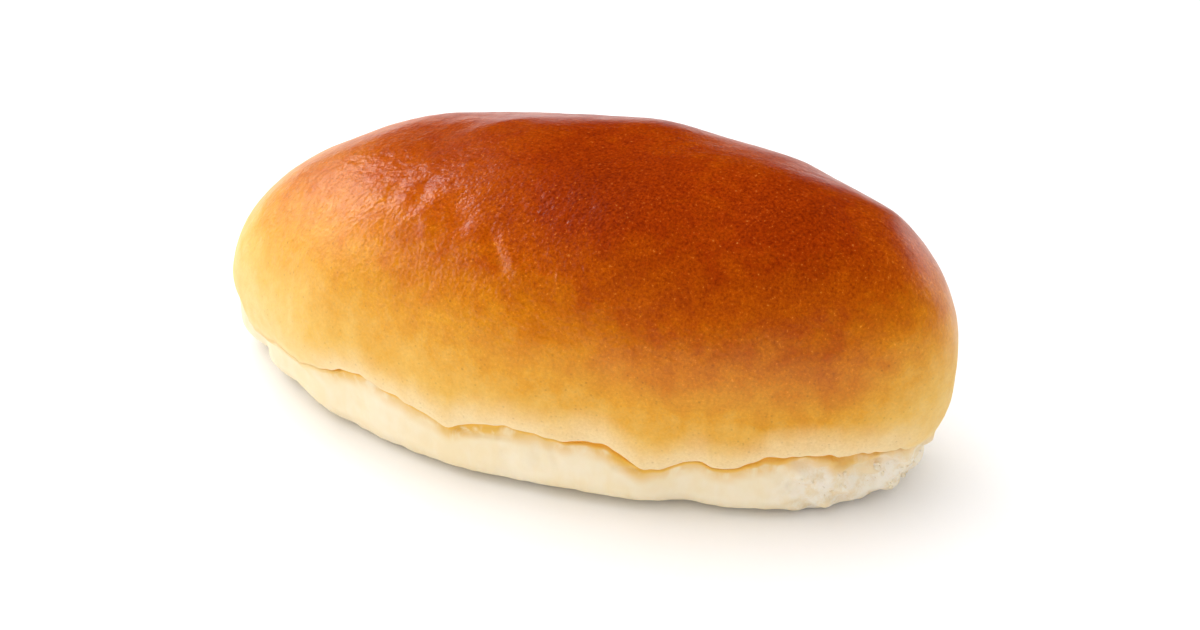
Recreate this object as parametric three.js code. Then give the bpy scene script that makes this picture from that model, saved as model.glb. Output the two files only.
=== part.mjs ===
// Soft oval bread roll, built as one closed solid. Millimetres, +Z up.
// Length runs along X, the front is towards -Y, the flat underside lies on z = 0.
import * as THREE from 'three';

// Overall body
const HALF_LENGTH = 62.5;
const HALF_WIDTH = 31.4;
const HEIGHT = 49.3;
const WIDEST_Z = 14;
const PLAN_FULLNESS = 2.53;
const TOP_FULLNESS = 2.59;
const WIDTH_TAPER = -0.084;
const HEIGHT_TAPER = 0.093;
const LEAN_X = 7.5;
const LEAN_Y = -1;
const LEAN_POWER = 1.5;
const SHIFT_X = -1.735;
const SHIFT_Y = 0.07;

// Pale base band and the fold where the dome bulges over it
const FOLD_Z = 12.4;
const FOOT_INSET = 6.7;
const FOOT_ROUNDING = 2.2;
const LIP_INSET = 2;
const LIP_RISE = 3.4;
const BELLY_BEHIND_LIP = 0.4;
const BELLY_HEIGHT = 0.46;
const FOLD_DEPTH = 1.6;
const FOLD_GAP = 0.22;
const FAINT_FOLD = 0.08;

// Each wave is a bell-shaped change round the roll: [at degrees, millimetres, spread degrees]
const FOLD_WAVES = [
  [246, 2.3, 7.5], [262.5, -2, 3.2], [271, 1.15, 7], [285.8, 0.9, 2.6], [293.6, -3.2, 4.2],
  [305, -2.1, 4.2], [317, 0.8, 7], [346, -0.4, 8], [60, 1.5, 14], [95, -1.2, 9],
  [118, 1.6, 10], [145, -1, 8], [190, 1.2, 14], [212, -1, 9],
];
const GAP_WAVES = [
  [254, 0.25, 5], [288, 0.5, 5], [313, 0.9, 4], [331, 1.5, 6.5], [75, 0.8, 8], [128, 0.6, 8],
];
const FOOT_WAVES = [
  [296, 1.3, 7], [322, -1.6, 10], [205, 0.3, 10], [252, -1, 14], [355, -0.6, 10],
  [282, 0.4, 5], [60, 0.8, 9], [110, -0.7, 9], [150, 0.6, 8],
];
const END_TUCKS = [
  [206, 2.4, 7], [224, 3.2, 14], [299, 0.9, 7], [338, 0.6, 8], [354, 1.6, 9], [14, 1.3, 18],
];

// Stretches where the fold is open: [start, end, ease in, ease out, strength]
const OPEN_FOLDS = [[238, 342, 5, 12, 1], [36, 150, 9, 12, 0.75]];

// Broad unevenness of the baked top: [x, y and z cycles per metre, phase, height]
const LUMPS = [
  [21, 33, 9, 0.4, 0.2], [-34, 19, 14, 2.1, 0.17], [44, 8, -21, 4, 0.12],
  [13, -52, 17, 5.2, 0.12], [-9, 27, 40, 1.3, 0.14],
];

// Torn crumb at the right front corner, in the same units
const CRUMB_RIDGES = [
  [148, 90, 120, 0.7, 0.28], [-95, 170, 140, 2.9, 0.25], [190, -60, 215, 4.4, 0.22],
  [60, 150, -230, 1.9, 0.2],
];
const TORN_STRETCH = [317, 6, 6, 12, 1];

// Dents and ridges: [from x, y, z, to x, y, z, half width, rise]
const MARKS = [
  [-24, -0.5, 44.8, -29, 2, 43.4, 5, -0.5],
  [-21, -1, 45.6, -13, 6, 46.8, 2.4, 0.2],
  [7, 12, 47.6, 13, 12, 47.9, 6, 0.35],
  [17, 11, 48.2, 40, 8.5, 48, 7, -0.6],
  [-22.2, -9.2, 44.3, -20.8, -12.2, 43.9, 1.7, 0.2],
  [-15, -9.6, 46, -15.6, -12.8, 45.2, 1.6, 0.22],
  [-22.6, -17, 42, -19.6, -20.6, 40.8, 1.6, 0.14],
  [-20.2, -14, 43.8, -19.3, -17.4, 42.6, 1.4, -0.4],
  [-13.2, -18, 43.7, -10.4, -20.8, 42.8, 1.8, -0.45],
  [-17.6, -19.6, 41.9, -15.6, -22, 40.8, 1.3, 0.3],
  [-2, -23.2, 41.4, 2.2, -26.2, 39.2, 1.3, 0.24],
  [-5, -22, 42.6, -1.6, -25.6, 40, 1.4, -0.35],
  [-24.6, -14.4, 42.4, -24.2, -17, 41.2, 1.5, -0.3],
  [45.8, -2.5, 47.2, 48, -4.5, 45.4, 4, -0.35],
  [43.5, 8.5, 46.8, 48.5, 6.5, 44.9, 6, 1.1],
  [16.5, -30.6, 17, 17.6, -29.4, 27, 1.8, -0.3],
  [-45.6, -15.4, 28, -41, -18.6, 24, 6, -0.3],
  [43.6, -16.9, 7, 45.2, -15.8, 6.6, 1.1, -1.1],
  [53.6, -6, 7.6, 55.4, -3, 9, 2.2, 1],
  [50.5, -10, 9.5, 51.5, -8, 8.5, 2, 0.7],
  [59, -2, 27, 60, 4, 27, 9, 0.8],
  [-60.5, -7, 24, -60.8, -7.6, 15, 9, 0.5],
];

// Rings of the mesh, from the foot up to the crown
const AROUND = 128;
const BAND_RINGS = 6;
const FOLD_RINGS = 6;
const DOME_RINGS = 27;
const DOME_RING_BIAS = 0.25;
const HALVE_BELOW = [0.62, 0.31, 0.155];
const UNDERSIDE_SCALES = [0.66, 0.33];

function ease(x) {
  const q = Math.min(Math.max(x, 0), 1);
  return q * q * (3 - 2 * q);
}

function waves(list, t) {
  let sum = 0;
  for (const [at, size, spread] of list) {
    const away = ((t - at + 540) % 360) - 180;
    sum += size * Math.exp(-((away / spread) ** 2));
  }
  return sum;
}

function stretch([start, end, easeIn, easeOut, strength], t) {
  const width = (end - start + 360) % 360;
  const along = (t - start + 360) % 360;
  const inside = along > 180 + width / 2 ? along - 360 : along;
  const rising = ease((inside + easeIn) / (2 * easeIn));
  const falling = ease((width - inside + easeOut) / (2 * easeOut));
  return strength * rising * falling;
}

function foldStrength(t) {
  let strongest = FAINT_FOLD;
  for (const fold of OPEN_FOLDS) {
    const reach = stretch([...fold.slice(0, 4), 1], t);
    strongest = Math.max(strongest, FAINT_FOLD + (fold[4] - FAINT_FOLD) * reach);
  }
  return strongest;
}

// Point of the widest outline and the direction square to it
function outline(t) {
  const a = THREE.MathUtils.degToRad(t);
  const c = Math.cos(a);
  const s = Math.sin(a);
  const taper = 1 + WIDTH_TAPER * c;
  const dx = -HALF_LENGTH * s;
  const dy = HALF_WIDTH * (c * taper - WIDTH_TAPER * s * s);
  const k = Math.hypot(dx, dy);
  return { x: HALF_LENGTH * c, y: HALF_WIDTH * s * taper, outX: dy / k, outY: -dx / k };
}

function curve(a, b, c, d, steps) {
  const bend = new THREE.CubicBezierCurve(
    new THREE.Vector2(...a), new THREE.Vector2(...b),
    new THREE.Vector2(...c), new THREE.Vector2(...d),
  );
  return bend.getPoints(steps);
}

// Height of the dome where its outline has shrunk to the scale given
function domeHeight(scale, c) {
  const top = HEIGHT * (1 + HEIGHT_TAPER * c * scale);
  const level = Math.max(1 - scale ** PLAN_FULLNESS, 0) ** (1 / TOP_FULLNESS);
  return WIDEST_Z + (top - WIDEST_Z) * level;
}

function domeScale(z, c) {
  let scale = 1;
  for (let i = 0; i < 3; i += 1) {
    const top = HEIGHT * (1 + HEIGHT_TAPER * c * scale);
    const level = Math.min(Math.max((z - WIDEST_Z) / (top - WIDEST_Z), 0), 1);
    scale = Math.max(1 - level ** TOP_FULLNESS, 0) ** (1 / PLAN_FULLNESS);
  }
  return scale;
}

// Upright sections at one azimuth as lists of [plan scale, inset, height]
function sections(t) {
  const foldZ = FOLD_Z + waves(FOLD_WAVES, t);
  const open = foldStrength(t);
  const gap = (FOLD_GAP + waves(GAP_WAVES, t)) * (0.35 + 0.65 * open);
  const tuck = waves(END_TUCKS, t);
  const depth = FOLD_DEPTH * open;
  const lipInset = LIP_INSET * open + 0.15 + 0.35 * tuck;
  const bellyInset = lipInset + BELLY_BEHIND_LIP + tuck;
  const footInset = FOOT_INSET + waves(FOOT_WAVES, t) + 0.5 * tuck;
  const bellyZ = BELLY_HEIGHT * foldZ;
  const foot = [-footInset - FOOT_ROUNDING, 0];
  const belly = [-bellyInset, bellyZ];
  const groove = 0.02 + 0.1 * open;
  const shoulder = [-lipInset - 0.35 * depth - groove, foldZ - gap - 0.25];
  const bottom = [-lipInset - depth - groove, foldZ + 0.12 * open];
  const lip = [-lipInset, foldZ + 0.1];

  // The band swells under an open fold and runs on smoothly under a faint one
  const swell = 0.25 + 0.15 * depth;
  const below = [
    shoulder[0] + swell * open + 0.25 * (belly[0] - shoulder[0]) * (1 - open),
    shoulder[1] - 0.9 * open + 0.25 * (belly[1] - shoulder[1]) * (1 - open),
  ];
  const band = [
    ...curve(foot, [-footInset - 0.1, 0], [-bellyInset, bellyZ * 0.35], belly, 24),
    ...curve(belly, [-bellyInset, bellyZ + 0.34 * foldZ], below, shoulder, 16).slice(1),
  ];
  const fold = [
    ...curve(
      shoulder, [shoulder[0] - 0.3 * depth, shoulder[1] + 0.3],
      [bottom[0] - 0.02, bottom[1] - 0.3 - 0.3 * gap], bottom, 12,
    ),
    ...curve(
      bottom, [bottom[0], bottom[1] + 0.22 + 0.1 * open],
      [lip[0] - 0.45 * depth - 0.02, lip[1] + 0.22], lip, 12,
    ).slice(1),
  ];

  const c = Math.cos(THREE.MathUtils.degToRad(t));
  const dome = [];
  const lipRise = LIP_RISE + 1.2 * tuck;
  for (let i = 0; i <= 22; i += 1) {
    const q = i / 22;
    const a = q * (Math.PI / 2);
    const rise = (1 - Math.cos(a)) * open + q * (1 - open);
    const inward = (1 - Math.sin(a)) * open + (1 - q) ** 2 * (1 - open);
    const z = lip[1] + lipRise * rise;
    dome.push([domeScale(z, c), -lipInset * inward, z]);
  }
  const startAngle = Math.acos(dome[22][0] ** (PLAN_FULLNESS / 2));
  for (let i = 1; i <= 90; i += 1) {
    const a = startAngle + (i / 90) * (Math.PI / 2 - startAngle);
    const scale = i === 90 ? 0 : Math.cos(a) ** (2 / PLAN_FULLNESS);
    dome.push([scale, 0, domeHeight(scale, c)]);
  }
  return [band.map((p) => [1, p.x, p.y]), fold.map((p) => [1, p.x, p.y]), dome];
}

function place(t, [scale, inset, z]) {
  const edge = outline(t);
  const lean = (Math.max(z, 0) / HEIGHT) ** LEAN_POWER;
  return new THREE.Vector3(
    edge.x * scale + edge.outX * inset + LEAN_X * lean + SHIFT_X,
    edge.y * scale + edge.outY * inset + LEAN_Y * lean + SHIFT_Y,
    z,
  );
}

// Points at the given shares of a line's length
function spaced(points, shares) {
  const run = [0];
  for (let i = 1; i < points.length; i += 1) {
    run.push(run[i - 1] + points[i].distanceTo(points[i - 1]));
  }
  const total = run[run.length - 1];
  let i = 1;
  return shares.map((share) => {
    while (i < run.length - 1 && run[i] < share * total) i += 1;
    const part = (share * total - run[i - 1]) / (run[i] - run[i - 1]);
    return points[i - 1].clone().lerp(points[i], Math.min(Math.max(part, 0), 1));
  });
}

// Azimuths at equal steps along the widest outline
function azimuths() {
  const fine = 3600;
  const run = [0];
  let last = outline(0);
  for (let i = 1; i <= fine; i += 1) {
    const next = outline((i / fine) * 360);
    run.push(run[i - 1] + Math.hypot(next.x - last.x, next.y - last.y));
    last = next;
  }
  const list = [];
  let i = 1;
  for (let n = 0; n < AROUND; n += 1) {
    const goal = (n / AROUND) * run[fine];
    while (run[i] < goal) i += 1;
    list.push(((i - 1 + (goal - run[i - 1]) / (run[i] - run[i - 1])) / fine) * 360);
  }
  return list;
}

// One azimuth's points from the foot to the crown
function meridian(t) {
  const [band, fold, dome] = sections(t).map((line) => line.map((row) => place(t, row)));
  const even = (count) => Array.from({ length: count }, (_, i) => (i + 1) / count);
  const biased = even(DOME_RINGS).map(
    (q) => (1 - DOME_RING_BIAS) * q + DOME_RING_BIAS * q * q,
  );
  return [
    ...spaced(band, [0, ...even(BAND_RINGS)]),
    ...spaced(fold, even(FOLD_RINGS)),
    ...spaced(dome, biased),
  ];
}

function ripples(list, p) {
  let sum = 0;
  for (const [x, y, z, phase, height] of list) {
    const turns = (x * p.x + y * p.y + z * p.z) / 1000;
    sum += height * Math.sin(2 * Math.PI * turns + phase);
  }
  return sum;
}

function marks(p) {
  let sum = 0;
  const near = new THREE.Vector3();
  const line = new THREE.Line3();
  for (const [ax, ay, az, bx, by, bz, halfWidth, rise] of MARKS) {
    line.start.set(ax, ay, az);
    line.end.set(bx, by, bz);
    line.closestPointToPoint(p, true, near);
    sum += rise * Math.exp(-((near.distanceTo(p) / halfWidth) ** 2));
  }
  return sum;
}

// How far the surface stands out from the plain body
function relief(p, t) {
  const aboveFoot = ease((p.z - 0.2) / 2.5);
  const belowFold = 1 - ease((p.z - FOLD_Z + 1.5) / 2);
  const torn = stretch(TORN_STRETCH, t) * belowFold;
  return aboveFoot * (ripples(LUMPS, p) + marks(p) + torn * ripples(CRUMB_RIDGES, p));
}

function buildRoll() {
  const angles = azimuths();
  const lines = angles.map(meridian);
  const rings = lines[0].length;
  const points = [];
  const around = [];
  const triangles = [];
  const add = (p, t) => {
    points.push(p);
    around.push(t);
    return points.length - 1;
  };
  const middle = (r) => {
    const sum = new THREE.Vector3();
    lines.forEach((line) => sum.add(line[r]));
    return sum.divideScalar(AROUND);
  };
  const meanReach = (r) => {
    const centre = middle(r);
    const reach = (line) => Math.hypot(line[r].x - centre.x, line[r].y - centre.y);
    return lines.reduce((sum, line) => sum + reach(line), 0) / AROUND;
  };

  // Joins a ring to the next, which has as many points or half as many
  const join = (low, high) => {
    const n = low.length;
    if (high.length === n) {
      for (let i = 0; i < n; i += 1) {
        const j = (i + 1) % n;
        triangles.push(low[i], low[j], high[j], low[i], high[j], high[i]);
      }
      return;
    }
    for (let k = 0; k < high.length; k += 1) {
      const i = 2 * k;
      const m = (k + 1) % high.length;
      triangles.push(low[i], low[i + 1], high[k]);
      triangles.push(low[i + 1], high[m], high[k]);
      triangles.push(low[i + 1], low[(i + 2) % n], high[m]);
    }
  };

  const footRing = lines.map((line, i) => add(line[0], angles[i]));
  let ring = footRing;
  let step = 1;
  const widest = Math.max(...lines[0].map((_, r) => meanReach(r)));
  for (let r = 1; r < rings - 1; r += 1) {
    const share = meanReach(r) / widest;
    const isDome = r > BAND_RINGS + FOLD_RINGS;
    if (isDome && step < 8 && share < HALVE_BELOW[Math.log2(step)]) step *= 2;
    const next = [];
    for (let i = 0; i < AROUND; i += step) next.push(add(lines[i][r], angles[i]));
    join(ring, next);
    ring = next;
  }
  const crown = add(middle(rings - 1), 0);
  ring.forEach((low, i) => triangles.push(low, ring[(i + 1) % ring.length], crown));

  // Flat underside
  const centre = middle(0);
  let inner = footRing;
  for (const scale of UNDERSIDE_SCALES) {
    const next = [];
    for (let i = 0; i < inner.length; i += 2) {
      const start = points[footRing[(i * AROUND) / inner.length]];
      next.push(add(centre.clone().lerp(start, scale), 0));
    }
    const from = triangles.length;
    join(inner, next);
    for (let i = from; i < triangles.length; i += 3) {
      [triangles[i], triangles[i + 1]] = [triangles[i + 1], triangles[i]];
    }
    inner = next;
  }
  const base = add(centre, 0);
  inner.forEach((from, i) => triangles.push(inner[(i + 1) % inner.length], from, base));

  const geometry = new THREE.BufferGeometry().setFromPoints(points);
  geometry.setIndex(triangles);
  geometry.computeVertexNormals();
  const position = geometry.getAttribute('position');
  const normal = geometry.getAttribute('normal');
  points.forEach((p, i) => {
    const out = new THREE.Vector3().fromBufferAttribute(normal, i);
    const moved = p.clone().addScaledVector(out, relief(p, around[i]));
    position.setXYZ(i, moved.x, moved.y, moved.z);
  });
  geometry.computeVertexNormals();
  return geometry;
}

const crust = new THREE.MeshStandardMaterial({ color: 0xb5652a, roughness: 0.45, metalness: 0 });
crust.name = 'crust';

const roll = new THREE.Mesh(buildRoll(), crust);
roll.name = 'bread_roll';

const part = new THREE.Group();
part.name = 'bread_roll_part';
part.add(roll);

export default part;
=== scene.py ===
"""A soft oval bread roll: glossy brown dome, open fold, pale base band and a torn crumb corner."""
import math

import bpy
import numpy as np
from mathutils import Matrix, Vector


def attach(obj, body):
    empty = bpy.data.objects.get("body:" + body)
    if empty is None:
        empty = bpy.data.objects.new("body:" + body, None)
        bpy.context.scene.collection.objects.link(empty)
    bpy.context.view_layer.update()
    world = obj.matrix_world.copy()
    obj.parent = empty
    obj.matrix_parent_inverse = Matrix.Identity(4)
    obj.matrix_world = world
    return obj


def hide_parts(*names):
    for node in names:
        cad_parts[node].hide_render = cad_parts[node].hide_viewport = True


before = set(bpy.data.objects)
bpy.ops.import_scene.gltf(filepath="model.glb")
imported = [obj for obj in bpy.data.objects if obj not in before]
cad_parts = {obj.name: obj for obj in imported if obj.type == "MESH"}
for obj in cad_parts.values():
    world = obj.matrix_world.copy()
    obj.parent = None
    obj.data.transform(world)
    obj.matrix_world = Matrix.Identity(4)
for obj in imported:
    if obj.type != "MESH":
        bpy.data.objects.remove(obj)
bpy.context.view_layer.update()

bl_info = {
    "name": "Bread roll",
    "version": (1, 0, 0),
    "blender": (4, 5, 0),
    "location": "3D View > Sidebar > Bread roll",
    "description": "Builds a soft oval bread roll with a baked crust and torn crumb",
    "category": "Object",
}

MM = 0.001

# The form of the solid, in millimetres, as the part's source has it
WIDEST_Z = 14.0
PLAN_FULLNESS = 2.53
TOP_FULLNESS = 2.59
WIDTH_TAPER = -0.084
HEIGHT_TAPER = 0.093
LEAN_X = 7.5
LEAN_Y = -1.0
LEAN_POWER = 1.5
SHIFT_X = -1.735
SHIFT_Y = 0.07
FOOT_INSET = 6.7
FOOT_ROUNDING = 2.2
LIP_INSET = 2.0
LIP_RISE = 3.4
BELLY_BEHIND_LIP = 0.4
BELLY_HEIGHT = 0.46
FOLD_GAP = 0.22
FAINT_FOLD = 0.08

# Where the section's curves meet, and how much of an end tuck reaches the lip and the foot
CLOSED_GAP_SHARE = 0.35
FAINT_LIP_INSET = 0.15
LIP_LIFT = 0.1
SHOULDER_DROP = 0.25
GROOVE = 0.02
GROOVE_BY_OPENING = 0.1
BELLY_TO_FOOT = 0.35
BELLY_TO_FOLD = 0.34
TUCK_AT_LIP = 0.35
TUCK_AT_FOOT = 0.5
LIP_RISE_BY_TUCK = 1.2

# Steps of the curves that make up an upright section
LOWER_STEPS = 24
UPPER_STEPS = 16
FOLD_STEPS = 12
LIP_STEPS = 22
VAULT_STEPS = 90
OUTLINE_STEPS = 3600

# Bell-shaped changes round the roll: at degrees, millimetres, spread degrees
FOLD_WAVES = [
    (246, 2.3, 7.5), (262.5, -2, 3.2), (271, 1.15, 7), (285.8, 0.9, 2.6), (293.6, -3.2, 4.2),
    (305, -2.1, 4.2), (317, 0.8, 7), (346, -0.4, 8), (60, 1.5, 14), (95, -1.2, 9),
    (118, 1.6, 10), (145, -1, 8), (190, 1.2, 14), (212, -1, 9),
]
GAP_WAVES = [
    (254, 0.25, 5), (288, 0.5, 5), (313, 0.9, 4), (331, 1.5, 6.5), (75, 0.8, 8), (128, 0.6, 8),
]
FOOT_WAVES = [
    (296, 1.3, 7), (322, -1.6, 10), (205, 0.3, 10), (252, -1, 14), (355, -0.6, 10),
    (282, 0.4, 5), (60, 0.8, 9), (110, -0.7, 9), (150, 0.6, 8),
]
END_TUCKS = [
    (206, 2.4, 7), (224, 3.2, 14), (299, 0.9, 7), (338, 0.6, 8), (354, 1.6, 9), (14, 1.3, 18),
]

# Small wavering of the fold and the foot: cycles round the roll, phase, millimetres
WAVERING = [(37, 1.0, 0.14), (61, 2.3, 0.12), (97, 0.4, 0.09), (143, 3.1, 0.05)]

# Open stretches of the fold: start, end, ease in, ease out, strength
OPEN_FOLDS = [(238, 342, 5, 12, 1), (36, 150, 9, 12, 0.75)]

# Stretches of the band where a golden glow of light bounced in the fold is painted below it, in the
# same form
BOUNCED_GLOW_STRETCHES = [
    (262, 272, 3, 4, 0.9), (286, 292, 3, 3, 0.5), (311, 316, 3, 3, 0.5), (322, 341, 4, 6, 1),
    (238, 243, 3, 4, 0.5), (60, 95, 10, 14, 0.6),
]

# Unevenness: x, y and z cycles per metre, phase, height in millimetres
LUMPS = [
    (21, 33, 9, 0.4, 0.2), (-34, 19, 14, 2.1, 0.17), (44, 8, -21, 4, 0.12),
    (13, -52, 17, 5.2, 0.12), (-9, 27, 40, 1.3, 0.14),
]
CRUMB_RIDGES = [
    (148, 90, 120, 0.7, 0.28), (-95, 170, 140, 2.9, 0.25), (190, -60, 215, 4.4, 0.22),
    (60, 150, -230, 1.9, 0.2),
]
TORN_STRETCH = (317, 6, 6, 12, 1)

# Dents and ridges: from x, y, z, to x, y, z, half width, rise
MARKS = [
    (-24, -0.5, 44.8, -29, 2, 43.4, 5, -0.5),
    (-21, -1, 45.6, -13, 6, 46.8, 2.4, 0.2),
    (7, 12, 47.6, 13, 12, 47.9, 6, 0.35),
    (17, 11, 48.2, 40, 8.5, 48, 7, -0.6),
    (-22.2, -9.2, 44.3, -20.8, -12.2, 43.9, 1.7, 0.2),
    (-15, -9.6, 46, -15.6, -12.8, 45.2, 1.6, 0.22),
    (-22.6, -17, 42, -19.6, -20.6, 40.8, 1.6, 0.14),
    (-20.2, -14, 43.8, -19.3, -17.4, 42.6, 1.4, -0.4),
    (-13.2, -18, 43.7, -10.4, -20.8, 42.8, 1.8, -0.45),
    (-17.6, -19.6, 41.9, -15.6, -22, 40.8, 1.3, 0.3),
    (-2, -23.2, 41.4, 2.2, -26.2, 39.2, 1.3, 0.24),
    (-5, -22, 42.6, -1.6, -25.6, 40, 1.4, -0.35),
    (-24.6, -14.4, 42.4, -24.2, -17, 41.2, 1.5, -0.3),
    (45.8, -2.5, 47.2, 48, -4.5, 45.4, 4, -0.35),
    (43.5, 8.5, 46.8, 48.5, 6.5, 44.9, 6, 1.1),
    (16.5, -30.6, 17, 17.6, -29.4, 27, 1.8, -0.3),
    (-45.6, -15.4, 28, -41, -18.6, 24, 6, -0.3),
    (43.6, -16.9, 7, 45.2, -15.8, 6.6, 1.1, -1.1),
    (53.6, -6, 7.6, 55.4, -3, 9, 2.2, 1),
    (50.5, -10, 9.5, 51.5, -8, 8.5, 2, 0.7),
    (59, -2, 27, 60, 4, 27, 9, 0.8),
    (-60.5, -7, 24, -60.8, -7.6, 15, 9, 0.5),
]

# Small creases and dents of the base band at the front: x, z, to x, z, half width, depth
CREASES = [
    (-8.4, 10.2, -4.4, 10.3, 0.5, 0.5), (-4.4, 10.3, 0.8, 10.9, 0.45, 0.4),
    (18, 8.5, 21.6, 8.9, 0.5, 0.45), (-37, 11, -35.3, 10.3, 0.5, 0.25),
    (-28.8, 8.6, -25.7, 7.8, 0.6, 0.3), (-13.2, 9, -12.8, 5, 1.6, 0.28),
    (0.4, 8.4, 0.8, 5, 1.4, 0.28), (5.6, 10.6, 6, 7.4, 1.2, 0.3), (8, 10.8, 8.4, 8.2, 1.1, 0.3),
    (-14.6, 8, -11, 3.8, 1.6, 0.2),
]

# Where the relief fades out over the table, and where the torn crumb ends below the fold
RELIEF_START_Z = 0.2
RELIEF_RISE = 2.5
TABLE_FADE_START_Z = 0.3
TABLE_FADE = 2.0
TORN_BELOW_FOLD = 1.5
TORN_FADE = 2.0

# Where the glossy, bumpy skin of the left shoulder runs, and where the gloss of the dome begins
BUMPY_FROM = (-42.0, -11.0, 37.0)
BUMPY_TO = (0.0, -24.0, 42.0)
BUMPY_RADIUS = 16.0
GLOSS_START_Z = 17.0
GLOSS_RISE = 15.0

# How far below the fold the band's tone begins to end, over what height, where the fold is
# open (sharp) and where it is faint (soft), and how fast it sharpens as the fold opens
SHARP_BAND_START = 1.0
SHARP_BAND_FADE = 3.2
SOFT_BAND_START = 9.0
SOFT_BAND_FADE = 17.0
BAND_SHARPENING = 1.5

# Points round a ring, and rings of the fine mesh from the foot up to the crown
AROUND = 640
BAND_RINGS = 36
FOLD_RINGS = 14
DOME_RINGS = 112
DOME_RING_BIAS = 0.25
DOME_BLEND_RINGS = 6
UNDERSIDE_RING = -1

# Shares of the widest ring below which a ring of the dome has half as many points
HALVE_BELOW = (0.62, 0.31, 0.155)

# Rings of the underside, as shares of the foot, and those with half as many points
UNDERSIDE_SCALES = (0.98, 0.94, 0.86, 0.74, 0.6, 0.45, 0.3, 0.15)
UNDERSIDE_HALVINGS = (2, 4, 6)

# How far baking has browned the crust: half at one height, and most right of the middle
HALF_BROWN_Z = 31.0
BROWN_PER_MM = 0.084
DARKEST_X = 23.0
PALER_REACH = 75.0
# Patches that are darker or paler than that, seen in the photograph: x, y, z, radius, change
BROWN_PATCHES = [
    (10, -12, 48, 10, 0.5), (40, -8, 46, 10, 0.4), (30, -26, 34, 10, 0.3), (48, -18, 28, 10, 0.4),
    (20, 6, 49, 14, -0.3), (-20, -24, 32, 14, -0.2), (6, -31, 17, 14, -0.2), (-30, 6, 42, 12, 0.6),
    (-48, -9, 34, 11, 0.5), (60, 0, 22, 11, -0.6),
]

# The photograph's width in pixels and the camera that took it
PHOTO_WIDTH = 1200
CAMERA_AZIMUTH = math.radians(24.5)
CAMERA_ELEVATION = math.radians(31.4)
CAMERA_DISTANCE = 394.3 * MM
PIXELS_PER_MM = 5.971
FRAME_MIDDLE_RIGHT = 4.558 * MM
FRAME_MIDDLE_UP = 14.169 * MM
SENSOR_WIDTH = 36.0
CLIP_START = 0.01

# The stage: half the table's width, the lights' aim above it, and the sky's spread
TABLE_HALF = 3.0
LIGHT_AIM = Vector((0, 0, 0.03))
SKY_ANGLE = math.radians(150)
SURROUND_COLOUR = (1.0, 0.985, 0.97, 1.0)

# Area lights: name, direction, distance, width, height, and the setting that holds the power
SOFT_LIGHTS = (
    ("Window", (-0.8, 0.43, 0.5), 0.7, 0.3, 0.3, "window_power"),
    ("Overhead", (-0.3, 0.0, 1.0), 0.9, 1.0, 1.0, "overhead_power"),
    ("Front fill", (-0.8, -0.6, 0.22), 0.9, 1.0, 0.5, "fill_power"),
)
REFLECTED_LIGHTS = (
    ("Window glint", (-0.83, 0.3, 0.46), 0.7, 0.28, 0.2, "glint_power"),
    ("Sheen", (-0.91, -0.24, 0.34), 0.8, 0.9, 0.36, "sheen_power"),
    ("Rim glint", (0.53, 0.82, 0.16), 0.8, 0.62, 0.26, "rim_power"),
)

# Cycles per metre of the noises and cells on the crust and in the crumb
BROAD = 70.0
MOTTLE = 320.0
STREAKS = 380.0
FINE = 700.0
FINER = 1600.0
GRAIN = 1700.0
DUST = 2100.0
SPECKS = 1300.0
PORES = 800.0
PITS = 430.0
CRUMB_CELLS = 780.0
CRUMB_MOTTLE = 900.0
SWELLS = 150.0
WRINKLES = 420.0
HOLLOWS = 330.0
TORN_LUMPS = 170.0
TORN_TUFTS = 420.0
BAND_STREAKS = 260.0
BAND_STREAK_HEIGHT = 0.00012

# Loose crumbs: turns in radians, and sizes of the flattest and the roundest for a size of 1
FULL_TURNS = (6.28, 6.28, 6.28)
FLATTEST = (0.5, 0.35, 0.3)
ROUNDEST = (1.0, 0.8, 0.7)

# Factors under 1 draw a pattern out: streaks upright, cells a little, wrinkles back and up
STREAK_STRETCH = (1.0, 1.0, 0.4)
CELL_STRETCH = (1.0, 1.0, 0.8)
WRINKLE_STRETCH = (1.0, 0.6, 0.8)

# Tint of the darkest and the palest grain of the crust, as factors of its colour; the same tints also
# paint the light and shade of the crust's fine bumps
DARK_GRAIN_AND_SHADE = (0.66, 0.5, 0.3, 1.0)
PALE_GRAIN_AND_LIGHT = (1.34, 1.5, 1.7, 1.0)


# Numbers on the surface

def ease(x):
    q = np.clip(x, 0, 1)
    return q * q * (3 - 2 * q)


def waves(rows, t):
    total = np.zeros_like(t, float)
    for at, size, spread in rows:
        away = (t - at + 540) % 360 - 180
        total += size * np.exp(-((away / spread) ** 2))
    return total


def wavering(t):
    return sum(size * np.sin(np.radians(t) * cycles + phase) for cycles, phase, size in WAVERING)


def stretch(row, t):
    start, end, ease_in, ease_out, strength = row
    width = (end - start + 360) % 360
    along = (t - start + 360) % 360
    inside = np.where(along > 180 + width / 2, along - 360, along)
    rising = ease((inside + ease_in) / (2 * ease_in))
    falling = ease((width - inside + ease_out) / (2 * ease_out))
    return strength * rising * falling


def fold_strength(t):
    strongest = np.full_like(t, FAINT_FOLD, dtype=float)
    for start, end, ease_in, ease_out, strength in OPEN_FOLDS:
        reach = stretch((start, end, ease_in, ease_out, 1), t)
        strongest = np.maximum(strongest, FAINT_FOLD + (strength - FAINT_FOLD) * reach)
    return strongest


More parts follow.
